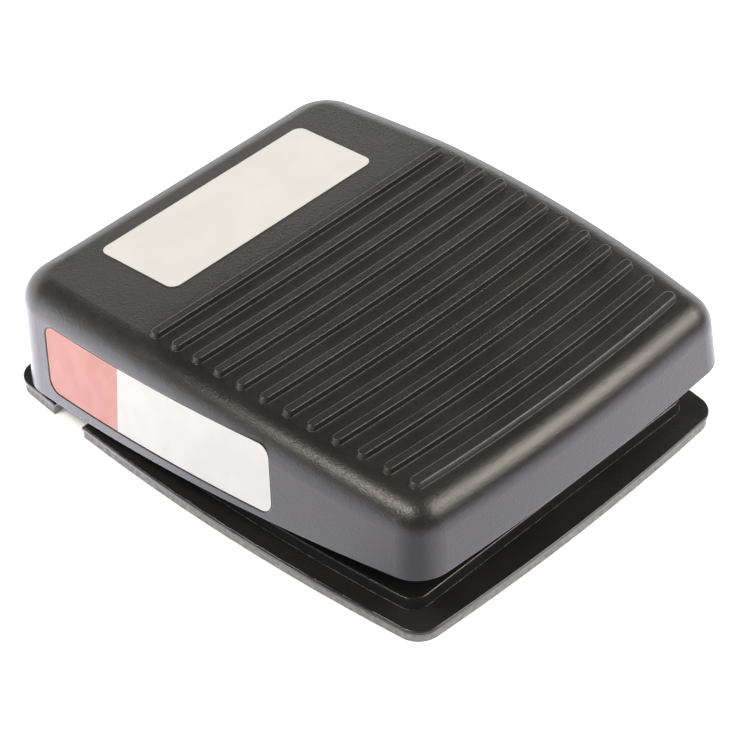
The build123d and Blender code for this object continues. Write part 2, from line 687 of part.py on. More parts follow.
def make_base_pad():
    """Rubber mat under the plate, with grip grooves across its underside."""
    pad = extrude(base_plan(0, PAD_INSET), amount=PAD_THICKNESS)
    pad = pad - base_cutouts(PAD_INSET)
    cuts = [cylinder_z(x, y, -1, PAD_THICKNESS + 1, FIX_HOLE_DIAMETER) for x, y in fixing_places()]
    for step in range(1, PAD_GROOVES_EACH_WAY + 1):
        for side in (-1, 1):
            y = side * step * PAD_GROOVE_PITCH
            cuts.append(block(
                -PAD_GROOVE_HALF_LENGTH, PAD_GROOVE_HALF_LENGTH,
                y - PAD_GROOVE_WIDTH / 2, y + PAD_GROOVE_WIDTH / 2, -1, PAD_GROOVE_DEPTH,
            ))
    return pad - fuse(cuts)


def make_hinge_pin():
    """Headed pin through the cover's lug and the ear, grooved for its clip."""
    head_face = HINGE_BOSS_INNER_X - CLIP_GAP
    tail = EAR_OUTER_X + PIN_TAIL
    shank = cylinder_x(head_face, tail, HINGE_Y, HINGE_Z, HINGE_PIN_DIAMETER)
    shank = chamfer(shank.faces().sort_by(Axis.X)[-1].edges(), PIN_END_CHAMFER)
    head = cylinder_x(head_face - PIN_HEAD_THICKNESS, head_face, HINGE_Y, HINGE_Z, PIN_HEAD_DIAMETER)
    head = fillet(head.faces().sort_by(Axis.X)[0].edges(), PIN_END_CHAMFER)
    groove_x = EAR_OUTER_X + CLIP_GAP
    ring = cylinder_x(groove_x, groove_x + CLIP_THICKNESS, HINGE_Y, HINGE_Z, CLIP_DIAMETER)
    core = cylinder_x(
        groove_x, groove_x + CLIP_THICKNESS, HINGE_Y, HINGE_Z,
        HINGE_PIN_DIAMETER - 2 * GROOVE_DEPTH,
    )
    return (head + shank) - (ring - core)


def make_pin_clip():
    """Open retaining clip in the pin's groove."""
    start = EAR_OUTER_X + CLIP_GAP + HOLE_GAP
    end = start + CLIP_THICKNESS - 2 * HOLE_GAP
    ring = cylinder_x(start, end, HINGE_Y, HINGE_Z, CLIP_DIAMETER)
    ring = ring - cylinder_x(
        start - 1, end + 1, HINGE_Y, HINGE_Z, HINGE_PIN_DIAMETER - 2 * GROOVE_DEPTH + 2 * THREAD_GAP
    )
    mouth = block(
        start - 1, end + 1, HINGE_Y - CLIP_MOUTH / 2, HINGE_Y + CLIP_MOUTH / 2,
        HINGE_Z - CLIP_DIAMETER, HINGE_Z,
    )
    return ring - mouth


def slotted_screw(x, y, seat, tip, thread, head, height):
    """Upright slotted pan-head screw whose head rests on seat."""
    dome = cylinder_z(x, y, seat, seat + height, head)
    dome = fillet(dome.faces().sort_by(Axis.Z)[-1].edges(), height * HEAD_ROUND_SHARE)
    shank = cylinder_z(x, y, tip, seat, thread)
    slot = block(x - head, x + head, y - SLOT_WIDTH / 2, y + SLOT_WIDTH / 2,
                 seat + height - SLOT_DEPTH, seat + height + 1)
    return (dome + shank) - slot


def rivet(x, y, seat, bottom):
    """Round-head rivet, closed under the sheet at bottom."""
    head = cylinder_z(x, y, seat, seat + RIVET_HEAD_HEIGHT, RIVET_HEAD_DIAMETER)
    head = fillet(head.faces().sort_by(Axis.Z)[-1].edges(), RIVET_HEAD_HEIGHT * RIVET_ROUND_SHARE)
    shank = cylinder_z(x, y, bottom, seat, RIVET_DIAMETER)
    tail = cylinder_z(x, y, bottom - RIVET_HEAD_HEIGHT, bottom, RIVET_TAIL_DIAMETER)
    return head + shank + tail


def hex_bar(x, y, z0, z1, flats):
    """Upright hexagonal bar between z0 and z1."""
    across_corners = flats / cos(radians(30))
    outline = Pos(x, y, z0) * RegularPolygon(across_corners / 2, 6)
    return extrude(outline, amount=z1 - z0)


def make_bushing():
    """Snap-in cable bushing in the inlet tab."""
    outer_face = INLET_Y + PLATE_THICKNESS
    flange = cylinder_y(
        0, outer_face, outer_face + BUSHING_FLANGE_THICKNESS, INLET_Z, BUSHING_FLANGE_DIAMETER
    )
    flange = fillet(flange.faces().sort_by(Axis.Y)[-1].edges(), BUSHING_FLANGE_THICKNESS * BUSHING_ROUND_SHARE)
    neck = cylinder_y(0, INLET_Y, outer_face, INLET_Z, BUSHING_NECK_DIAMETER)
    collar = cylinder_y(
        0, INLET_Y - BUSHING_COLLAR_THICKNESS, INLET_Y, INLET_Z, BUSHING_COLLAR_DIAMETER
    )
    collar = chamfer(collar.faces().sort_by(Axis.Y)[0].edges(), BUSHING_COLLAR_THICKNESS * BUSHING_BEVEL_SHARE)
    body = flange + neck + collar
    return body - cylinder_y(0, INLET_Y - 5, outer_face + 5, INLET_Z, INLET_BORE)


def make_saddle():
    """Bent strap that holds the cable down on the base."""
    radius = SADDLE_CORD_RADIUS
    outer = radius + SADDLE_THICKNESS
    centre_z = PLATE_TOP_Z + radius - SADDLE_SQUEEZE
    half = SADDLE_DEPTH / 2
    arch = cylinder_y(0, SADDLE_Y - half, SADDLE_Y + half, centre_z, 2 * outer)
    legs = block(-outer, outer, SADDLE_Y - half, SADDLE_Y + half, PLATE_TOP_Z, centre_z)
    foot_end = outer + SADDLE_FOOT
    feet = block(
        -foot_end, foot_end, SADDLE_Y - half, SADDLE_Y + half,
        PLATE_TOP_Z, PLATE_TOP_Z + SADDLE_THICKNESS,
    )
    feet = fillet(feet.edges().filter_by(Axis.Z), SADDLE_CORNER)
    strap = arch + legs + feet
    strap = strap - cylinder_y(0, SADDLE_Y - half - 1, SADDLE_Y + half + 1, centre_z, 2 * radius)
    strap = strap - block(
        -radius, radius, SADDLE_Y - half - 1, SADDLE_Y + half + 1, PLATE_TOP_Z - 1, centre_z
    )
    strap = strap - block(
        -outer, outer, SADDLE_Y - half - 1, SADDLE_Y + half + 1, 0, PLATE_TOP_Z
    )
    for x in (-SADDLE_SCREW_X, SADDLE_SCREW_X):
        strap = strap - cylinder_z(
            x, SADDLE_Y, 0, centre_z, SMALL_SCREW_DIAMETER + 2 * HOLE_GAP
        )
    return strap


def make_saddle_screws():
    """The saddle's two screws."""
    seat = PLATE_TOP_Z + SADDLE_THICKNESS
    screws = [
        slotted_screw(x, SADDLE_Y, seat, PAD_THICKNESS, SMALL_SCREW_DIAMETER,
                      SMALL_HEAD_DIAMETER, SMALL_HEAD_HEIGHT)
        for x in (-SADDLE_SCREW_X, SADDLE_SCREW_X)
    ]
    return Compound(children=screws)


def make_earth_screw():
    """Earth screw on the base plate."""
    seat = PLATE_TOP_Z + CONTACT_STRIP
    return slotted_screw(EARTH_X, EARTH_Y, seat, PAD_THICKNESS, SMALL_SCREW_DIAMETER,
                         SMALL_HEAD_DIAMETER, SMALL_HEAD_HEIGHT)


def make_earth_washer():
    """Cupped washer with a tag under the earth screw."""
    top = PLATE_TOP_Z + CONTACT_STRIP
    half = EARTH_TAG_WIDTH / 2
    end = EARTH_X + EARTH_TAG_LENGTH
    ring = cylinder_z(EARTH_X, EARTH_Y, PLATE_TOP_Z, top, EARTH_RING_DIAMETER)
    tag = block(EARTH_X, end, EARTH_Y - half, EARTH_Y + half, PLATE_TOP_Z, top)
    tag = fillet(tag.edges().filter_by(Axis.Z).sort_by(Axis.X)[-2:], EARTH_TAG_CORNER)
    hole = cylinder_z(EARTH_X, EARTH_Y, 0, DECK_TOP_Z, SMALL_SCREW_DIAMETER + 2 * HOLE_GAP)
    eye = cylinder_z(end - EARTH_EYE_FROM_END, EARTH_Y, 0, DECK_TOP_Z, EARTH_EYE_DIAMETER)
    return ring + tag - hole - eye


def switch_hole_places():
    """X of the two mounting holes through the switch."""
    return [SWITCH_CENTRE_X - SWITCH_HOLE_SPACING / 2, SWITCH_CENTRE_X + SWITCH_HOLE_SPACING / 2]


def terminal_slot(x0, x1, y, z):
    """Clearance for a contact strip through an end wall."""
    half = CONTACT_STRIP_WIDTH / 2 + HOLE_GAP
    return block(x0, x1, y - half, y + half, z - HOLE_GAP, z + CONTACT_STRIP + HOLE_GAP)


def make_switch_case():
    """Lower moulding of the snap-action switch, open on top, with two through tubes."""
    case = block(SWITCH_LEFT_X, SWITCH_RIGHT_X, SWITCH_FRONT_Y, SWITCH_REAR_Y,
                 SWITCH_BOTTOM_Z, CASE_TOP_Z)
    case = fillet(case.edges().filter_by(Axis.Z), SWITCH_CORNER)
    room = block(
        SWITCH_LEFT_X + SWITCH_WALL, SWITCH_RIGHT_X - SWITCH_WALL,
        SWITCH_FRONT_Y + SWITCH_WALL, SWITCH_REAR_Y - SWITCH_WALL,
        SWITCH_BOTTOM_Z + SWITCH_WALL, CASE_TOP_Z + 1,
    )
    case = case - room
    for x in switch_hole_places():
        tube = cylinder_y(
            x, SWITCH_FRONT_Y + TUBE_SHORTENING, SWITCH_REAR_Y - TUBE_SHORTENING,
            SWITCH_HOLE_Z, SWITCH_TUBE_DIAMETER,
        )
        case = case + tube
    for x in switch_hole_places():
        case = case - cylinder_y(
            x, SWITCH_FRONT_Y - 1, SWITCH_REAR_Y + 1, SWITCH_HOLE_Z, SWITCH_HOLE_DIAMETER
        )
    reach = 2 * SWITCH_WALL
    case = case - terminal_slot(SWITCH_LEFT_X - 1, SWITCH_LEFT_X + reach, PLUNGER_Y, COMMON_Z)
    case = case - terminal_slot(
        SWITCH_RIGHT_X - reach, SWITCH_RIGHT_X + 1, PLUNGER_Y + CLOSED_SHIFT_Y, CLOSED_Z
    )
    return case - terminal_slot(
        SWITCH_RIGHT_X - reach, SWITCH_RIGHT_X + 1, PLUNGER_Y + OPEN_SHIFT_Y, OPEN_Z
    )


def make_switch_lid():
    """Lid of the switch with the guide hole of the plunger."""
    lid = block(SWITCH_LEFT_X, SWITCH_RIGHT_X, SWITCH_FRONT_Y, SWITCH_REAR_Y, CASE_TOP_Z, LID_TOP_Z)
    lid = fillet(lid.edges().filter_by(Axis.Z), SWITCH_CORNER)
    lid = chamfer(lid.faces().sort_by(Axis.Z)[-1].edges(), SWITCH_LID_BEVEL)
    return lid - cylinder_z(
        0, PLUNGER_Y, CASE_TOP_Z - 1, LID_TOP_Z + 1, PLUNGER_DIAMETER + 2 * PLUNGER_GAP
    )


def actuator_face_at_rest():
    """Height of the resting actuator face straight above the plunger's axis."""
    tilt = radians(REST_TILT)
    up = ACTUATOR_FACE_Z - HINGE_Z
    along = (PLUNGER_Y - HINGE_Y - sin(tilt) * up) / cos(tilt)
    return HINGE_Z + cos(tilt) * up - sin(tilt) * along


def make_plunger():
    """Domed push button of the switch with its retaining collar."""
    top = actuator_face_at_rest() - CONTACT_GAP
    shaft = cylinder_z(0, PLUNGER_Y, PLUNGER_BOTTOM_Z, top, PLUNGER_DIAMETER)
    shaft = fillet(shaft.faces().sort_by(Axis.Z)[-1].edges(), PLUNGER_DOME_EDGE)
    collar = cylinder_z(
        0, PLUNGER_Y, PLUNGER_BOTTOM_Z, PLUNGER_BOTTOM_Z + PLUNGER_COLLAR_THICKNESS,
        PLUNGER_COLLAR_DIAMETER,
    )
    return shaft + collar


def contact_strip(wall_x, outward, y, z):
    """Terminal strip through an end wall, with a screw hole in its outer end."""
    inner = wall_x - outward * TERMINAL_INSIDE
    outer = wall_x + outward * TERMINAL_REACH
    half = CONTACT_STRIP_WIDTH / 2
    strip = block(min(inner, outer), max(inner, outer), y - half, y + half, z, z + CONTACT_STRIP)
    ends = strip.edges().filter_by(Axis.Z).sort_by(Axis.X)
    ends = ends[-2:] if outward > 0 else ends[:2]
    strip = fillet(ends, TERMINAL_CORNER)
    hole_x = outer - outward * CONTACT_STRIP_WIDTH / 2
    return strip - cylinder_z(hole_x, y, z - 1, z + 2, SMALL_SCREW_DIAMETER + 2 * HOLE_GAP)


def terminal_places():
    """Screw hole centre of each terminal and the height of its strip."""
    left = SWITCH_LEFT_X - TERMINAL_REACH + CONTACT_STRIP_WIDTH / 2
    right = SWITCH_RIGHT_X + TERMINAL_REACH - CONTACT_STRIP_WIDTH / 2
    return [
        (left, PLUNGER_Y, COMMON_Z),
        (right, PLUNGER_Y + CLOSED_SHIFT_Y, CLOSED_Z),
        (right, PLUNGER_Y + OPEN_SHIFT_Y, OPEN_Z),
    ]


def make_terminal_screws():
    """Three clamping screws of the terminals."""
    screws = [
        slotted_screw(x, y, z + CONTACT_STRIP, z - TERMINAL_SCREW_DEPTH, SMALL_SCREW_DIAMETER,
                      SMALL_HEAD_DIAMETER, SMALL_HEAD_HEIGHT)
        for x, y, z in terminal_places()
    ]
    return Compound(children=screws)


def make_contact_blade():
    """Moving contact: a spring strip from the common terminal to a wide tip with a button."""
    low = COMMON_Z + CONTACT_STRIP
    high = low + BLADE_THICKNESS
    left = SWITCH_LEFT_X + BLADE_TAIL_INSET
    right = SWITCH_RIGHT_X - BLADE_TIP_INSET
    half = BLADE_WIDTH / 2
    half_tip = BLADE_TIP_WIDTH / 2
    half_window = BLADE_WINDOW_WIDTH / 2
    strip = block(left, right, PLUNGER_Y - half, PLUNGER_Y + half, low, high)
    tip = block(right - BLADE_TIP_LENGTH, right, PLUNGER_Y - half_tip, PLUNGER_Y + half_tip, low, high)
    tip = fillet(tip.edges().filter_by(Axis.Z), BLADE_TIP_CORNER)
    window = block(
        left + BLADE_WINDOW_FROM_TAIL, right - BLADE_WINDOW_FROM_TIP,
        PLUNGER_Y - half_window, PLUNGER_Y + half_window, low - 1, high + 1,
    )
    return strip + tip - window


def make_fixed_contacts():
    """Contact buttons on the inner ends of the two fixed terminals."""
    x = SWITCH_RIGHT_X - CONTACT_BUTTON_INSET
    upper = cylinder_z(x, PLUNGER_Y + CLOSED_SHIFT_Y, CLOSED_Z - CONTACT_BUTTON_HEIGHT, CLOSED_Z,
                       CONTACT_BUTTON_DIAMETER)
    low = OPEN_Z + CONTACT_STRIP
    lower = cylinder_z(x, PLUNGER_Y + OPEN_SHIFT_Y, low, low + CONTACT_BUTTON_HEIGHT,
                       CONTACT_BUTTON_DIAMETER)
    return Compound(children=[upper, lower])


def make_bracket():
    """Bent steel bracket that carries the switch."""
    upright_y = SWITCH_REAR_Y + BRACKET_UPRIGHT_GAP
    rear = upright_y + BRACKET_THICKNESS
    foot = block(-BRACKET_HALF_LENGTH, BRACKET_HALF_LENGTH, BRACKET_FRONT_Y, rear,
                 DECK_TOP_Z, DECK_TOP_Z + BRACKET_THICKNESS)
    foot = fillet(foot.edges().filter_by(Axis.Z).sort_by(Axis.Y)[:2], BRACKET_CORNER)
    holes = switch_hole_places()
    upright = block(
        holes[0] - BRACKET_UPRIGHT_MARGIN, holes[1] + BRACKET_UPRIGHT_MARGIN,
        upright_y, rear, DECK_TOP_Z, BRACKET_UPRIGHT_TOP_Z,
    )
    corners = upright.edges().filter_by(Axis.Y).sort_by(Axis.Z)[-2:]
    upright = fillet(corners, BRACKET_CORNER)
    bracket = foot + upright
    for x in holes:
        bracket = bracket - cylinder_y(x, upright_y - 1, rear + 1, SWITCH_HOLE_Z, SWITCH_HOLE_DIAMETER)
    for x in (-BRACKET_RIVET_X, BRACKET_RIVET_X):
        bracket = bracket - cylinder_z(
            x, BRACKET_RIVET_Y, DECK_TOP_Z - 1, DECK_TOP_Z + 3, RIVET_DIAMETER + 2 * HOLE_GAP
        )
    return bracket


def make_bracket_rivets():
    """Two rivets through bracket and deck."""
    seat = DECK_TOP_Z + BRACKET_THICKNESS
    rivets = [
        rivet(x, BRACKET_RIVET_Y, seat, DECK_UNDER_Z)
        for x in (-BRACKET_RIVET_X, BRACKET_RIVET_X)
    ]
    return Compound(children=rivets)


def make_insulator_card():
    """Fibre card between the bracket's foot and the switch."""
    low = DECK_TOP_Z + BRACKET_THICKNESS
    card = block(
        SWITCH_LEFT_X + CARD_LEFT_INSET, SWITCH_RIGHT_X - CARD_RIGHT_INSET,
        SWITCH_FRONT_Y + CARD_SIDE_INSET, SWITCH_REAR_Y - CARD_SIDE_INSET, low, low + CARD_THICKNESS,
    )
    return fillet(card.edges().filter_by(Axis.Z), CARD_CORNER)


def make_switch_screws():
    """Two pan-head screws along Y through switch and bracket."""
    screws = []
    nut_far = SWITCH_REAR_Y + BRACKET_UPRIGHT_GAP + BRACKET_THICKNESS + SWITCH_NUT_THICKNESS
    for x in switch_hole_places():
        thread = SWITCH_HOLE_DIAMETER - 2 * HOLE_GAP
        shank = cylinder_y(x, SWITCH_FRONT_Y, nut_far + SWITCH_SCREW_TIP, SWITCH_HOLE_Z, thread)
        head = cylinder_y(
            x, SWITCH_FRONT_Y - SWITCH_SCREW_HEAD_HEIGHT, SWITCH_FRONT_Y, SWITCH_HOLE_Z,
            SWITCH_SCREW_HEAD_DIAMETER,
        )
        head = fillet(head.faces().sort_by(Axis.Y)[0].edges(), SWITCH_SCREW_HEAD_HEIGHT * HEAD_ROUND_SHARE)
        slot = block(
            x - SWITCH_SCREW_HEAD_DIAMETER, x + SWITCH_SCREW_HEAD_DIAMETER,
            SWITCH_FRONT_Y - SWITCH_SCREW_HEAD_HEIGHT - 1,
            SWITCH_FRONT_Y - SWITCH_SCREW_HEAD_HEIGHT + SLOT_DEPTH,
            SWITCH_HOLE_Z - SLOT_WIDTH / 2, SWITCH_HOLE_Z + SLOT_WIDTH / 2,
        )
        screws.append(shank + head - slot)
    return Compound(children=screws)


def make_switch_nuts():
    """Two hexagon nuts behind the bracket."""
    nuts = []
    start = SWITCH_REAR_Y + BRACKET_UPRIGHT_GAP + BRACKET_THICKNESS
    for x in switch_hole_places():
        corner_radius = SWITCH_NUT_FLATS / cos(radians(30)) / 2
        outline = Plane.XZ * (Pos(x, SWITCH_HOLE_Z) * RegularPolygon(corner_radius, 6))
        nut = Pos(0, start + SWITCH_NUT_THICKNESS, 0) * extrude(outline, amount=SWITCH_NUT_THICKNESS)
        bore = SWITCH_HOLE_DIAMETER - 2 * HOLE_GAP + 2 * THREAD_GAP
        nuts.append(nut - cylinder_y(x, start - 1, start + 5, SWITCH_HOLE_Z, bore))
    return Compound(children=nuts)


def make_actuator_screw():
    """Adjustable hexagon screw in the cover whose flat head works the plunger."""
    head_top = ACTUATOR_FACE_Z + ACTUATOR_HEAD_THICKNESS
    head = hex_bar(0, ACTUATOR_Y, ACTUATOR_FACE_Z, head_top, ACTUATOR_FLATS)
    tip = ACTUATOR_BLIND_TOP_Z - ACTUATOR_BLIND_GAP
    shank = cylinder_z(0, ACTUATOR_Y, head_top, tip, ACTUATOR_THREAD_DIAMETER)
    return head + shank


def make_actuator_nut():
    """Lock nut between the actuating screw's head and its boss."""
    low = ACTUATOR_FACE_Z + ACTUATOR_HEAD_THICKNESS
    high = low + ACTUATOR_NUT_THICKNESS
    nut = hex_bar(0, ACTUATOR_Y, low, high, ACTUATOR_FLATS)
    return nut - cylinder_z(0, ACTUATOR_Y, low - 1, high + 1, ACTUATOR_THREAD_DIAMETER + 2 * THREAD_GAP)


def spring_ceiling():
    """Height of the resting cover's roof, from inside, above the spring's axis."""
    tilt = radians(REST_TILT)
    up = roof_height(SPRING_RING_LEVEL_Y) - COVER_ROOF - HINGE_Z
    along = SPRING_RING_LEVEL_Y - HINGE_Y
    return HINGE_Z + cos(tilt) * up - sin(tilt) * along


def make_return_spring():
    """Compression spring between the seat and the cover's roof."""
    wire = SPRING_WIRE_DIAMETER / 2
    low = SEAT_TOP_Z + wire
    high = spring_ceiling() - SPRING_TOP_GAP - wire
    radius = SPRING_OUTER_DIAMETER / 2 - wire
    path = Helix(pitch=(high - low) / SPRING_TURNS, height=high - low, radius=radius)
    section = Plane(origin=path @ 0, z_dir=path % 0) * Circle(wire)
    return Pos(0, SPRING_Y, low) * sweep(section, path=path, is_frenet=True)


def make_spring_seat():
    """Turned seat riveted to the deck, with a spigot inside the spring."""
    flange = cylinder_z(0, SPRING_Y, DECK_TOP_Z, SEAT_TOP_Z, SEAT_FLANGE_DIAMETER)
    spigot = cylinder_z(0, SPRING_Y, SEAT_TOP_Z, SEAT_TOP_Z + SEAT_SPIGOT_HEIGHT, SEAT_SPIGOT_DIAMETER)
    spigot = chamfer(spigot.faces().sort_by(Axis.Z)[-1].edges(), SEAT_SPIGOT_BEVEL)
    shank = cylinder_z(0, SPRING_Y, DECK_UNDER_Z, DECK_TOP_Z, RIVET_DIAMETER)
    tail = cylinder_z(0, SPRING_Y, DECK_UNDER_Z - RIVET_HEAD_HEIGHT, DECK_UNDER_Z, RIVET_HEAD_DIAMETER)
    return flange + spigot + shank + tail


def make_bumpers():
    """Two rubber stops snapped into the deck."""
    stops = []
    for x in (-STOP_X, STOP_X):
        pad = cylinder_z(x, STOP_Y, DECK_TOP_Z, BUMPER_TOP_Z, BUMPER_DIAMETER)
        pad = fillet(pad.faces().sort_by(Axis.Z)[-1].edges(), BUMPER_DOME)
        neck = cylinder_z(x, STOP_Y, DECK_UNDER_Z, DECK_TOP_Z, BUMPER_NECK_DIAMETER)
        head = cylinder_z(
            x, STOP_Y, DECK_UNDER_Z - BUMPER_HEAD_THICKNESS, DECK_UNDER_Z, BUMPER_HEAD_DIAMETER
        )
        stops.append(pad + neck + head)
    return Compound(children=stops)


def group_pair(shape):
    """Two separate mirrored solids in one group."""
    return Compound(children=[shape, mirror(shape, about=Plane.YZ)])


def build():
    """Every node of the foot switch by name."""
    common, closed, opened = terminal_places()
    return {
        "treadle_cover": rested(make_cover()),
        "rating_label": rested(make_top_label()),
        "side_label": rested(make_side_label()),
        "actuator_screw": rested(make_actuator_screw()),
        "actuator_nut": rested(make_actuator_nut()),
        "base_plate": make_base_plate(),
        "base_pad": make_base_pad(),
        "hinge_pins": group_pair(make_hinge_pin()),
        "pin_clips": group_pair(make_pin_clip()),
        "inlet_bushing": make_bushing(),
        "cord_saddle": make_saddle(),
        "saddle_screws": make_saddle_screws(),
        "earth_screw": make_earth_screw(),
        "earth_washer": make_earth_washer(),
        "switch_bracket": make_bracket(),
        "bracket_rivets": make_bracket_rivets(),
        "insulator_card": make_insulator_card(),
        "switch_case": make_switch_case(),
        "switch_lid": make_switch_lid(),
        "switch_plunger": make_plunger(),
        "switch_screws": make_switch_screws(),
        "switch_nuts": make_switch_nuts(),
        "terminal_common": contact_strip(SWITCH_LEFT_X, -1, common[1], common[2]),
        "terminal_closed": contact_strip(SWITCH_RIGHT_X, 1, closed[1], closed[2]),
        "terminal_open": contact_strip(SWITCH_RIGHT_X, 1, opened[1], opened[2]),
        "terminal_screws": make_terminal_screws(),
        "contact_blade": make_contact_blade(),
        "fixed_contacts": make_fixed_contacts(),
        "return_spring": make_return_spring(),
        "spring_seat": make_spring_seat(),
        "stop_bumpers": make_bumpers(),
    }


def main():
    os.makedirs("parts", exist_ok=True)
    for name, shape in build().items():
        export_step(shape, f"parts/{name}.step")
        print(name, round(shape.volume, 1), len(shape.solids()))


main()
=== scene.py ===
import math

import bpy
import numpy as np
from mathutils import Matrix, Vector


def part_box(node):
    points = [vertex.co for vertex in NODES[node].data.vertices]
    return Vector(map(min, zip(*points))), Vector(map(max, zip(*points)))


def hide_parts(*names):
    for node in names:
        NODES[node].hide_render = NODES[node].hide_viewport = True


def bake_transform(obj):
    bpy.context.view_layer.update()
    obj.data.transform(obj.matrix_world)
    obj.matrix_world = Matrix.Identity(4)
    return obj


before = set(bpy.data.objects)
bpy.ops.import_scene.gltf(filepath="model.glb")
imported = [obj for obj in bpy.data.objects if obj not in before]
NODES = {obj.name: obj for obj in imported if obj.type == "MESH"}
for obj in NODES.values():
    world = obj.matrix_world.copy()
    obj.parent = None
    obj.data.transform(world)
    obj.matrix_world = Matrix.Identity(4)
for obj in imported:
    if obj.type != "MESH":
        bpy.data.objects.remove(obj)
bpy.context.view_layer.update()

# Camera as worked out from the photograph, in metres and degrees
CAMERA_PLACE = (-0.3675, -0.3539, 0.4564)
CAMERA_HEADING = -136.03
CAMERA_HEIGHT_ANGLE = 41.20
CAMERA_ROLL = 0.51
CAMERA_LENS = 147.1
SENSOR_WIDTH = 36.0
HALF_PIXEL = 0.5 / 740

# Studio
FLOOR_HALF = 3.0
FLOOR_Z = -0.00005
FLOOR_TONE = 0.88
FLOOR_SHEEN = 2.9
FLOOR_SHEEN_TINT = (0.94, 0.92, 1.0)
FLOOR_LIFT = 0.07

# Floor glow, as glossy surfaces see it: weaker towards the camera and far behind, stronger behind on the left
NEAR_SHEEN = 0.52
REAR_SHEEN = 1.55
REAR_SIDE = (-0.574, 0.819, 0.0)
FAR_SHEEN = 0.42
FAR_SIDE = (0.643, 0.766, 0.0)
CAMERA_SIDE = (-0.719, -0.695, 0.0)
NEAR_SPAN = (0.93, 0.998)
REAR_SPAN = (0.6, 0.97)
FAR_SPAN = (0.3, 0.75)

# Surround and backdrop: levels, the side that it stands on, and the heights where it fades
WORLD_WHITE = 1.0
FILL_LEVEL = 0.95
ROOM_LEVEL = 0.07
BACKDROP_LEVEL = 0.65
BACKDROP_SIDE = (0.259, 0.966, 0.0)
BACKDROP_NEAR = 0.0
BACKDROP_FAR = 0.12
BACKDROP_FULL = 0.40
BACKDROP_END = 0.55
HORIZON_LEVEL = 3.3
HORIZON_FULL = 0.13
HORIZON_END = 0.41
WARM = (1.0, 0.93, 0.82)

# Soft lights: heading and height angle in degrees, distance, size in metres, power in watts
FRONT_LIGHT = (-43.0, 43.5, 1.3, (0.78, 0.67), 18.8)
LEFT_LIGHT = (165.0, 57.0, 1.3, (0.50, 0.36), 13.8)

# Return spring, in metres: wire radius, turns, and the rise of a closed end turn
WIRE_RADIUS = 0.0009
SPRING_TURNS = 5.5
END_TURN_RISE = 0.00195
CLOSED_TURNS = 0.8
OPENING_TURNS = 0.4
RING_STEPS = 14
TURN_STEPS = 40

# Side label: where its orange zone starts, in metres
ORANGE_START_Y = 0.0258

# Base plate: the step under the cover, whose reflection is taken away as painted shade, lies between these
# heights, in metres
STEP_LOW_Z = 0.0034
STEP_HIGH_Z = 0.0072


class Shader:
    """A node tree with short calls to add nodes and to join sockets."""

    def __init__(self, tree):
        self.tree = tree
        self.nodes = tree.nodes
        self.links = tree.links

    def add(self, kind, **settings):
        """Adds a node and sets its properties."""
        node = self.nodes.new(kind)
        for name, value in settings.items():
            setattr(node, name, value)
        return node

    def join(self, socket, value):
        """Joins an output to the socket, or sets the socket to a plain value."""
        if isinstance(value, bpy.types.NodeSocket):
            self.links.new(value, socket)
        else:
            socket.default_value = value

    def math(self, operation, a, b=0.0, clamp=False):
        node = self.add("ShaderNodeMath", operation=operation, use_clamp=clamp)
        self.join(node.inputs[0], a)
        self.join(node.inputs[1], b)
        return node.outputs[0]

    def vector(self, operation, a, b=(0.0, 0.0, 0.0), output=0):
        node = self.add("ShaderNodeVectorMath", operation=operation)
        self.join(node.inputs[0], a)
        self.join(node.inputs[1], b)
        return node.outputs[output]

    def mix(self, share, a, b):
        """Colour between a and b."""
        node = self.add("ShaderNodeMix", data_type="RGBA")
        self.join(node.inputs["Factor"], share)
        self.join(node.inputs[6], a)
        self.join(node.inputs[7], b)
        return node.outputs[2]

    def blend(self, share, a, b):
        """Value between a and b."""
        node = self.add("ShaderNodeMix", data_type="FLOAT")
        self.join(node.inputs["Factor"], share)
        self.join(node.inputs[2], a)
        self.join(node.inputs[3], b)
        return node.outputs[0]

    def span(self, value, low, high, to_low=0.0, to_high=1.0, smooth=True):
        """The value mapped from one span to another, held at its ends."""
        node = self.add("ShaderNodeMapRange", interpolation_type="SMOOTHSTEP" if smooth else "LINEAR")
        for name, item in (("Value", value), ("From Min", low), ("From Max", high),
                           ("To Min", to_low), ("To Max", to_high)):
            self.join(node.inputs[name], item)
        return node.outputs[0]

    def noise(self, place, scale, detail=3.0, rough=0.55):
        node = self.add("ShaderNodeTexNoise")
        self.join(node.inputs["Vector"], place)
        self.join(node.inputs["Scale"], scale)
        self.join(node.inputs["Detail"], detail)
        self.join(node.inputs["Roughness"], rough)
        return node.outputs[0]

    def place(self):
        """Place in the object, in metres."""
        return self.add("ShaderNodeTexCoord").outputs["Object"]

    def use(self, group, **inputs):
        """A shared effect with its inputs set; gives the node."""
        node = self.add("ShaderNodeGroup")
        node.node_tree = group
        for name, value in inputs.items():
            self.join(node.inputs[name.replace("_", " ").capitalize()], value)
        return node


def effect(name, inputs, outputs):
    """An empty shader node group with named inputs and outputs."""
    tree = bpy.data.node_groups.new(name, "ShaderNodeTree")
    for label, kind, value in inputs:
        socket = tree.interface.new_socket(label, in_out="INPUT", socket_type="NodeSocket" + kind)
        if value is not None:
            socket.default_value = value
    for label, kind in outputs:
        tree.interface.new_socket(label, in_out="OUTPUT", socket_type="NodeSocket" + kind)
    shader = Shader(tree)
    return tree, shader, shader.add("NodeGroupInput").outputs, shader.add("NodeGroupOutput").inputs


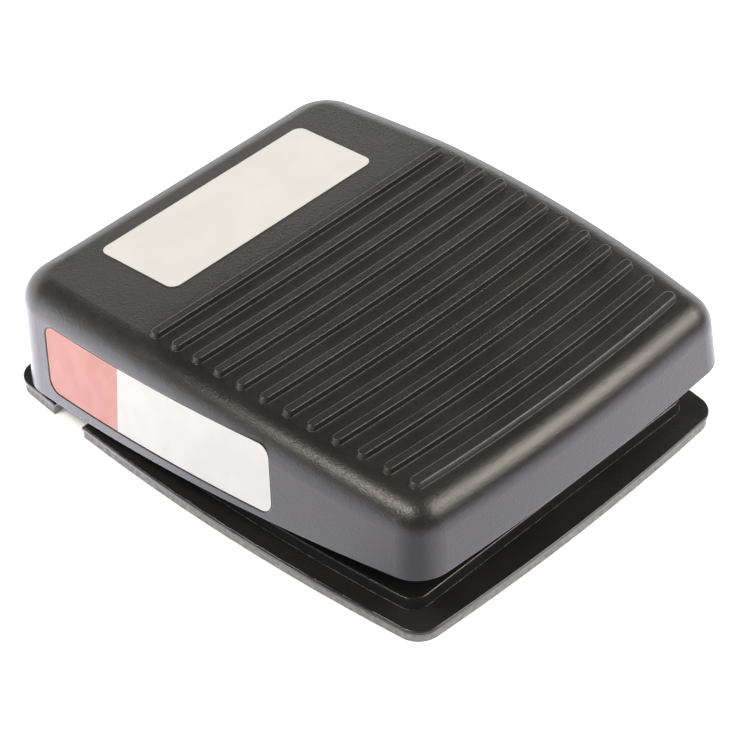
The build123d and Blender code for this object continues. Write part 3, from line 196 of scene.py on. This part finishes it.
def grain_effect():
    """Fine moulded or cast grain: two noises raise the surface and give a speckle mask."""
    tree, s, given, out = effect(
        "surface grain",
        [("Place", "Vector", None), ("Scale", "Float", 900.0), ("Depth", "Float", 0.00002),
         ("Rounding", "Float", 0.0001)],
        [("Normal", "Vector"), ("Speckle", "Float")],
    )
    fine = s.noise(given["Place"], given["Scale"], 2.0, 0.6)
    coarse = s.noise(given["Place"], s.math("MULTIPLY", given["Scale"], 0.37), 1.0, 0.5)
    height = s.math("ADD", s.math("MULTIPLY", fine, 0.6), s.math("MULTIPLY", coarse, 0.4))
    bump = s.add("ShaderNodeBump")
    bump.inputs["Strength"].default_value = 1.0
    s.join(bump.inputs["Distance"], given["Depth"])
    s.join(bump.inputs["Height"], height)
    rounded = s.add("ShaderNodeBevel", samples=8)
    s.join(rounded.inputs["Radius"], given["Rounding"])
    s.join(bump.inputs["Normal"], rounded.outputs[0])
    s.join(out["Normal"], bump.outputs[0])
    s.join(out["Speckle"], s.span(height, 0.42, 0.62))
    return tree


def wear_and_highlight_effect():
    """Lighter edges where a rounded normal leaves the real one, broken up by noise: rubbed wear, and on the
    cover partly painted highlight along its edges and rib lines.
    """
    tree, s, given, out = effect(
        "edge wear and highlight",
        [("Place", "Vector", None), ("Width", "Float", 0.0004), ("Amount", "Float", 0.5)],
        [("Mask", "Float")],
    )
    rounded = s.add("ShaderNodeBevel", samples=4)
    s.join(rounded.inputs["Radius"], given["Width"])
    real = s.add("ShaderNodeNewGeometry").outputs["Normal"]
    same = s.vector("DOT_PRODUCT", rounded.outputs[0], real, output=1)
    edge = s.span(same, 0.998, 0.90, 0.0, 1.0)
    broken = s.span(s.noise(given["Place"], 420.0, 4.0, 0.65), 0.38, 0.62)
    s.join(out["Mask"], s.math("MULTIPLY", s.math("MULTIPLY", edge, broken), given["Amount"]))
    return tree


def dust_effect():
    """Settled dust: a mask on faces that look up, gathered in soft patches."""
    tree, s, given, out = effect(
        "settled dust",
        [("Place", "Vector", None), ("Amount", "Float", 0.1)],
        [("Mask", "Float")],
    )
    normal = s.add("ShaderNodeNewGeometry").outputs["Normal"]
    up = s.add("ShaderNodeSeparateXYZ")
    s.join(up.inputs[0], normal)
    facing = s.span(up.outputs[2], 0.3, 1.0)
    patches = s.span(s.noise(given["Place"], 60.0, 5.0, 0.6), 0.35, 0.75)
    specks = s.span(s.noise(given["Place"], 2600.0, 1.0, 0.5), 0.66, 0.74)
    amount = s.math("ADD", s.math("MULTIPLY", patches, 0.4), specks)
    s.join(out["Mask"], s.math("MULTIPLY", s.math("MULTIPLY", facing, amount), given["Amount"]))
    return tree


def tone_effect():
    """Slow change of tone over a surface: a mask from broad noise."""
    tree, s, given, out = effect(
        "tone spread",
        [("Place", "Vector", None), ("Scale", "Float", 40.0)],
        [("Mask", "Float")],
    )
    s.join(out["Mask"], s.span(s.noise(given["Place"], given["Scale"], 5.0, 0.55), 0.3, 0.7))
    return tree


GRAIN = grain_effect()
WEAR_AND_HIGHLIGHT = wear_and_highlight_effect()
DUST = dust_effect()
TONE = tone_effect()


def rgba(colour):
    return (*colour, 1.0)


def new_material(name):
    """An empty node material: its tree, its surface shader and its place output."""
    material = bpy.data.materials.new(name)
    material.use_nodes = True
    material.node_tree.nodes.clear()
    s = Shader(material.node_tree)
    surface = s.add("ShaderNodeBsdfPrincipled")
    s.join(s.add("ShaderNodeOutputMaterial").inputs["Surface"], surface.outputs[0])
    return material, s, surface, s.place()


def finish_material(name, main, other, edge, rough, spread, metal=0.0, grain=900.0, depth=0.00001,
                    wear=0.3, width=0.0004, dust=0.1, tone=40.0, dust_colour=(0.35, 0.34, 0.32),
                    stretch=None, rounding=0.0001):
    """General finish: two tones, grain, lighter edges (rubbed wear, on the cover partly painted highlight) and
    dust over one surface shader.
    """
    material, s, surface, place = new_material(name)
    drawn = s.vector("MULTIPLY", place, stretch) if stretch else place
    tone_mask = s.use(TONE, place=drawn, scale=tone).outputs["Mask"]
    wear_and_highlight_mask = s.use(WEAR_AND_HIGHLIGHT, place=place, width=width, amount=wear).outputs["Mask"]
    dust_mask = s.use(DUST, place=place, amount=dust).outputs["Mask"]
    ground = s.use(GRAIN, place=drawn, scale=grain, depth=depth, rounding=rounding)
    colour = s.mix(tone_mask, rgba(main), rgba(other))
    colour = s.mix(wear_and_highlight_mask, colour, rgba(edge))
    colour = s.mix(dust_mask, colour, rgba(dust_colour))
    s.join(surface.inputs["Base Color"], colour)
    roughness = s.blend(tone_mask, rough - spread, rough + spread)
    roughness = s.blend(ground.outputs["Speckle"], roughness, s.math("ADD", roughness, 0.04))
    s.join(surface.inputs["Roughness"], s.blend(dust_mask, roughness, 0.9))
    s.join(surface.inputs["Metallic"], metal)
    s.join(surface.inputs["Normal"], ground.outputs["Normal"])
    return material, s, surface


def side_label_material():
    """White film with an orange-pink zone at its rear end, and no words."""
    material, s, surface, place = new_material("side label film")
    split = s.add("ShaderNodeSeparateXYZ")
    s.join(split.inputs[0], place)
    along = split.outputs[1]
    zone = s.span(along, ORANGE_START_Y - 0.0001, ORANGE_START_Y + 0.0001)
    mottle = s.use(TONE, place=place, scale=160.0).outputs["Mask"]
    white = s.mix(mottle, rgba((0.427, 0.423, 0.437)), rgba((0.413, 0.409, 0.422)))
    orange = s.mix(mottle, rgba((0.340, 0.131, 0.103)), rgba((0.330, 0.127, 0.100)))
    colour = s.mix(zone, white, orange)
    wear_and_highlight_mask = s.use(WEAR_AND_HIGHLIGHT, place=place, width=0.0006, amount=0.35).outputs["Mask"]
    colour = s.mix(wear_and_highlight_mask, colour, rgba((0.55, 0.52, 0.50)))
    ground = s.use(GRAIN, place=place, scale=700.0, depth=0.000006)
    s.join(surface.inputs["Base Color"], colour)
    s.join(surface.inputs["Roughness"], s.blend(mottle, 0.42, 0.52))
    s.join(surface.inputs["Normal"], ground.outputs["Normal"])
    return material


def shade_step_under_cover(s, surface):
    """Painted shade on the steep step under the cover's edge: its gloss is taken away there, standing in for
    the cover's shade.
    """
    height = s.add("ShaderNodeSeparateXYZ")
    s.join(height.inputs[0], s.place())
    facing = s.add("ShaderNodeSeparateXYZ")
    s.join(facing.inputs[0], s.add("ShaderNodeNewGeometry").outputs["Normal"])
    steep = s.span(s.math("ABSOLUTE", facing.outputs[2]), 0.35, 0.8, 1.0, 0.0)
    above = s.math("GREATER_THAN", height.outputs[2], STEP_LOW_Z)
    below = s.math("LESS_THAN", height.outputs[2], STEP_HIGH_Z)
    step = s.math("MULTIPLY", steep, s.math("MULTIPLY", above, below))
    # Painted shade: nearly no specular reflection on the step under the cover.
    s.join(surface.inputs["Specular IOR Level"], s.blend(step, 0.5, 0.01))


def assign(material, *names):
    """Gives CAD nodes their finish."""
    for name in names:
        mesh = NODES[name].data
        mesh.materials.clear()
        mesh.materials.append(material)


def coil_spring():
    """Return spring with closed end turns, which shortens as the treadle goes down.

    Wire line: (R cos a, R sin a, h(a)), with h' at its closed value in both end turns and
    at an even higher value between them. Surface: line + r (cos b N + sin b B), where N points
    away from the axis and B = T x N for the line's direction T.
    """
    low, high = (np.array(corner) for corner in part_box("return_spring"))
    radius = (high[0] - low[0]) / 2 - WIRE_RADIUS
    centre_y = high[1] - radius - WIRE_RADIUS
    rise = high[2] - low[2] - 2 * WIRE_RADIUS
    count = int(SPRING_TURNS * TURN_STEPS) + 1
    angle = np.linspace(0.0, 2 * np.pi * SPRING_TURNS, count)
    turn = angle / (2 * np.pi)
    from_end = np.minimum(turn, SPRING_TURNS - turn)
    inside = np.clip((from_end - CLOSED_TURNS) / OPENING_TURNS, 0.0, 1.0)
    inside = inside * inside * (3 - 2 * inside)
    step = np.diff(turn)
    closed = END_TURN_RISE * SPRING_TURNS
    share = (inside[1:] + inside[:-1]) / 2
    open_rise = (rise - closed) / np.sum(share * step)
    height = np.concatenate([[0.0], np.cumsum((END_TURN_RISE + open_rise * share) * step)])
    line = np.stack([radius * np.cos(angle), radius * np.sin(angle), height], axis=1)
    direction = np.gradient(line, axis=0)
    direction /= np.linalg.norm(direction, axis=1)[:, None]
    outward = np.stack([np.cos(angle), np.sin(angle), np.zeros(count)], axis=1)
    across = np.cross(direction, outward)
    ring = np.arange(RING_STEPS) * 2 * np.pi / RING_STEPS
    points = (line[:, None] + WIRE_RADIUS * (np.cos(ring)[None, :, None] * outward[:, None]
                                             + np.sin(ring)[None, :, None] * across[:, None]))
    points = points.reshape(-1, 3) + np.array([0.0, centre_y, low[2] + WIRE_RADIUS])
    faces = []
    for row in range(count - 1):
        for column in range(RING_STEPS):
            beside = (column + 1) % RING_STEPS
            faces.append((row * RING_STEPS + column, row * RING_STEPS + beside,
                          (row + 1) * RING_STEPS + beside, (row + 1) * RING_STEPS + column))
    faces.append(tuple(reversed(range(RING_STEPS))))
    faces.append(tuple(range((count - 1) * RING_STEPS, count * RING_STEPS)))
    mesh = bpy.data.meshes.new("coil_spring")
    mesh.from_pydata(points.tolist(), [], faces)
    mesh.validate()
    mesh.polygons.foreach_set("use_smooth", [len(face.vertices) == 4 for face in mesh.polygons])
    piece = bpy.data.objects.new("coil_spring", mesh)
    bpy.context.scene.collection.objects.link(piece)
    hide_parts("return_spring")
    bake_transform(piece)
    return piece


def paint_nodes():
    """Every CAD node gets the finish of its material."""
    # The cover's lighter edges are partly rubbed wear and partly painted highlight along its edges and rib
    # lines.
    cover, _, _ = finish_material(
        "moulded black cover", (0.0075, 0.0072, 0.0068), (0.0105, 0.0098, 0.0093), (0.06, 0.057, 0.053),
        0.30, 0.02, grain=3600.0, depth=0.000095, wear=0.32, width=0.0005, dust=0.012, tone=30.0,
        rounding=0.00035,
    )
    plate, plate_tree, plate_surface = finish_material(
        "black enamel plate", (0.011, 0.011, 0.0115), (0.015, 0.015, 0.0155), (0.20, 0.20, 0.20),
        0.24, 0.04, grain=500.0, depth=0.00001, wear=0.5, width=0.0003, dust=0.01,
    )
    # Painted shade on the plate's step under the cover.
    shade_step_under_cover(plate_tree, plate_surface)
    pad, _, _ = finish_material(
        "rubber mat", (0.205, 0.195, 0.200), (0.132, 0.127, 0.133), (0.29, 0.28, 0.28),
        0.80, 0.08, grain=1400.0, depth=0.0002, wear=0.2, dust=0.02, tone=900.0,
    )
    silver, _, _ = finish_material(
        "blank silver film", (0.382, 0.376, 0.364), (0.363, 0.357, 0.346), (0.41, 0.39, 0.38),
        0.42, 0.05, grain=1200.0, depth=0.000004, wear=0.35, width=0.0005, dust=0.02, tone=70.0,
    )
    zinc, _, _ = finish_material(
        "zinc plated steel", (0.62, 0.62, 0.60), (0.52, 0.52, 0.49), (0.80, 0.80, 0.78),
        0.34, 0.08, metal=1.0, grain=2200.0, depth=0.000006, dust=0.08, tone=300.0,
    )
    bright, _, _ = finish_material(
        "turned steel", (0.66, 0.66, 0.66), (0.56, 0.56, 0.57), (0.85, 0.85, 0.85),
        0.25, 0.06, metal=1.0, grain=1500.0, depth=0.000006, dust=0.06, tone=260.0,
        stretch=(1.0, 1.0, 8.0),
    )
    spring, _, _ = finish_material(
        "drawn spring wire", (0.40, 0.40, 0.41), (0.30, 0.29, 0.29), (0.62, 0.62, 0.62),
        0.30, 0.07, metal=1.0, grain=1800.0, depth=0.000005, dust=0.05, tone=200.0,
    )
    nylon, _, _ = finish_material(
        "black nylon", (0.030, 0.030, 0.031), (0.040, 0.040, 0.040), (0.09, 0.09, 0.09),
        0.45, 0.05, grain=1400.0, depth=0.00001, wear=0.3, dust=0.08,
    )
    brass, _, _ = finish_material(
        "stamped brass", (0.72, 0.54, 0.25), (0.60, 0.42, 0.18), (0.90, 0.74, 0.42),
        0.30, 0.08, metal=1.0, grain=2000.0, depth=0.000004, dust=0.05, tone=240.0,
    )
    fibre, _, _ = finish_material(
        "fibre sheet", (0.34, 0.23, 0.15), (0.27, 0.18, 0.12), (0.45, 0.34, 0.24),
        0.72, 0.06, grain=900.0, depth=0.00003, dust=0.08, tone=180.0, stretch=(1.0, 6.0, 1.0),
    )
    phenolic, _, _ = finish_material(
        "phenolic moulding", (0.040, 0.034, 0.031), (0.052, 0.044, 0.040), (0.12, 0.10, 0.09),
        0.36, 0.05, grain=1100.0, depth=0.000012, wear=0.3, dust=0.12,
    )
    red, _, _ = finish_material(
        "red button moulding", (0.50, 0.06, 0.045), (0.42, 0.045, 0.035), (0.70, 0.20, 0.15),
        0.30, 0.04, grain=1000.0, depth=0.000006, dust=0.08,
    )
    copper, _, _ = finish_material(
        "copper alloy strip", (0.78, 0.45, 0.28), (0.66, 0.36, 0.22), (0.92, 0.62, 0.45),
        0.28, 0.06, metal=1.0, grain=1800.0, depth=0.000004, dust=0.03, tone=200.0,
    )
    silver_metal, _, _ = finish_material(
        "silver contact", (0.82, 0.82, 0.80), (0.70, 0.70, 0.69), (0.95, 0.95, 0.93),
        0.24, 0.06, metal=1.0, grain=2400.0, depth=0.000003, dust=0.02, tone=400.0,
    )
    rubber, _, _ = finish_material(
        "moulded rubber", (0.022, 0.022, 0.022), (0.034, 0.033, 0.032), (0.07, 0.07, 0.07),
        0.68, 0.07, grain=1000.0, depth=0.00003, wear=0.3, dust=0.16,
    )
    assign(cover, "treadle_cover")
    assign(plate, "base_plate")
    assign(pad, "base_pad")
    assign(silver, "rating_label")
    assign(side_label_material(), "side_label")
    assign(zinc, "actuator_screw", "actuator_nut", "cord_saddle", "saddle_screws",
           "switch_bracket", "switch_screws", "switch_nuts")
    assign(bright, "hinge_pins", "bracket_rivets", "terminal_screws", "spring_seat")
    assign(spring, "pin_clips", "return_spring")
    coil_spring().data.materials.append(spring)
    assign(nylon, "inlet_bushing")
    assign(brass, "earth_screw", "earth_washer", "terminal_common", "terminal_closed", "terminal_open")
    assign(fibre, "insulator_card")
    assign(phenolic, "switch_case", "switch_lid")
    assign(red, "switch_plunger")
    assign(copper, "contact_blade")
    assign(silver_metal, "fixed_contacts")
    assign(rubber, "stop_bumpers")


def set_camera():
    """The photograph's own camera: place, direction and a slight roll."""
    heading = math.radians(CAMERA_HEADING)
    height = math.radians(CAMERA_HEIGHT_ANGLE)
    roll = math.radians(CAMERA_ROLL)
    back = Vector((math.cos(height) * math.cos(heading), math.cos(height) * math.sin(heading),
                   math.sin(height)))
    right = (-back).cross(Vector((0, 0, 1))).normalized()
    down = (-back).cross(right)
    turned_right = math.cos(roll) * right + math.sin(roll) * down
    turned_down = -math.sin(roll) * right + math.cos(roll) * down
    data = bpy.data.cameras.new("photo camera")
    data.lens = CAMERA_LENS
    data.sensor_width = SENSOR_WIDTH
    data.shift_x = -HALF_PIXEL
    data.shift_y = HALF_PIXEL
    data.clip_start = 0.01
    data.clip_end = 50.0
    camera = bpy.data.objects.new("photo_camera", data)
    turn = Matrix((turned_right, -turned_down, back)).transposed().to_4x4()
    camera.matrix_world = Matrix.Translation(CAMERA_PLACE) @ turn
    bpy.context.scene.collection.objects.link(camera)
    bpy.context.scene.camera = camera


def make_floor():
    """Plain white floor that keeps the soft shadow and is clear from below.

    Glossy surfaces see it lit as by the studio's low lights.
    """
    mesh = bpy.data.meshes.new("floor")
    half = FLOOR_HALF
    corners = [(x, y, FLOOR_Z) for x, y in ((-half, -half), (half, -half), (half, half), (-half, half))]
    mesh.from_pydata(corners, [], [(0, 1, 2, 3)])
    floor = bpy.data.objects.new("floor", mesh)
    bpy.context.scene.collection.objects.link(floor)
    material = bpy.data.materials.new("white floor")
    material.use_nodes = True
    material.node_tree.nodes.clear()
    s = Shader(material.node_tree)
    diffuse = s.add("ShaderNodeBsdfDiffuse")
    s.join(diffuse.inputs["Color"], rgba((FLOOR_TONE, FLOOR_TONE, FLOOR_TONE)))
    glow = s.add("ShaderNodeEmission")
    heading = s.vector("NORMALIZE", s.place())
    near = s.span(s.vector("DOT_PRODUCT", heading, CAMERA_SIDE, output=1), *NEAR_SPAN, 1.0, NEAR_SHEEN)
    rear = s.span(s.vector("DOT_PRODUCT", heading, REAR_SIDE, output=1), *REAR_SPAN, 1.0, REAR_SHEEN)
    s.join(glow.inputs["Color"], rgba(FLOOR_SHEEN_TINT))
    far = s.span(s.vector("DOT_PRODUCT", heading, FAR_SIDE, output=1), *FAR_SPAN, 1.0, FAR_SHEEN)
    spread = s.math("MULTIPLY", s.math("MULTIPLY", near, rear), far)
    s.join(glow.inputs["Strength"], s.math("MULTIPLY", spread, FLOOR_SHEEN))
    path = s.add("ShaderNodeLightPath")
    lift = s.add("ShaderNodeEmission")
    s.join(lift.inputs["Color"], rgba(FLOOR_SHEEN_TINT))
    s.join(lift.inputs["Strength"], s.math("MULTIPLY", path.outputs["Is Camera Ray"], FLOOR_LIFT))
    seen = s.add("ShaderNodeAddShader")
    s.join(seen.inputs[0], diffuse.outputs[0])
    s.join(seen.inputs[1], lift.outputs[0])
    choose = s.add("ShaderNodeMixShader")
    s.join(choose.inputs[0], path.outputs["Is Glossy Ray"])
    s.join(choose.inputs[1], seen.outputs[0])
    s.join(choose.inputs[2], glow.outputs[0])
    clear = s.add("ShaderNodeMixShader")
    s.join(clear.inputs[0], s.add("ShaderNodeNewGeometry").outputs["Backfacing"])
    s.join(clear.inputs[1], choose.outputs[0])
    s.join(clear.inputs[2], s.add("ShaderNodeBsdfTransparent").outputs[0])
    s.join(s.add("ShaderNodeOutputMaterial").inputs["Surface"], clear.outputs[0])
    mesh.materials.append(material)


def toward(heading, height, distance):
    """The point at that heading and height angle, in degrees, as seen from the object."""
    turn, lift = math.radians(heading), math.radians(height)
    return (distance * math.cos(lift) * math.cos(turn), distance * math.cos(lift) * math.sin(turn),
            distance * math.sin(lift))


def soft_light(name, heading, height, distance, size, power, tint):
    """A rectangular soft light that looks at the object."""
    data = bpy.data.lights.new(name, "AREA")
    data.shape = "RECTANGLE"
    data.size, data.size_y = size
    data.energy = power
    data.color = tint
    lamp = bpy.data.objects.new(name, data)
    place = Vector(toward(heading, height, distance))
    lamp.rotation_euler = (-place).to_track_quat("-Z", "Y").to_euler()
    lamp.location = place
    bpy.context.scene.collection.objects.link(lamp)


def make_studio():
    """White surround, bright behind and most so near the horizon, dark overhead, with two warm soft lights."""
    world = bpy.data.worlds.new("studio")
    bpy.context.scene.world = world
    world.use_nodes = True
    world.node_tree.nodes.clear()
    s = Shader(world.node_tree)
    direction = s.add("ShaderNodeTexCoord").outputs["Generated"]
    split = s.add("ShaderNodeSeparateXYZ")
    s.join(split.inputs[0], direction)
    behind = s.span(s.vector("DOT_PRODUCT", direction, BACKDROP_SIDE, output=1),
                    BACKDROP_NEAR, BACKDROP_FAR)
    backdrop = s.math("MULTIPLY", behind, s.span(split.outputs[2], BACKDROP_FULL, BACKDROP_END, 1.0, 0.0))
    level = s.span(split.outputs[2], HORIZON_FULL, HORIZON_END, HORIZON_LEVEL, BACKDROP_LEVEL)
    seen = s.blend(backdrop, ROOM_LEVEL, level)
    path = s.add("ShaderNodeLightPath")
    strength = s.blend(path.outputs["Is Glossy Ray"], FILL_LEVEL, seen)
    strength = s.blend(path.outputs["Is Camera Ray"], strength, WORLD_WHITE)
    background = s.add("ShaderNodeBackground")
    s.join(background.inputs["Color"], rgba((1.0, 1.0, 1.0)))
    s.join(background.inputs["Strength"], strength)
    s.join(s.add("ShaderNodeOutputWorld").inputs["Surface"], background.outputs[0])
    soft_light("front_light", *FRONT_LIGHT, WARM)
    soft_light("left_light", *LEFT_LIGHT, WARM)


def main():
    paint_nodes()
    make_floor()
    make_studio()
    set_camera()
    view = bpy.context.scene.view_settings
    view.view_transform = "Standard"


main()
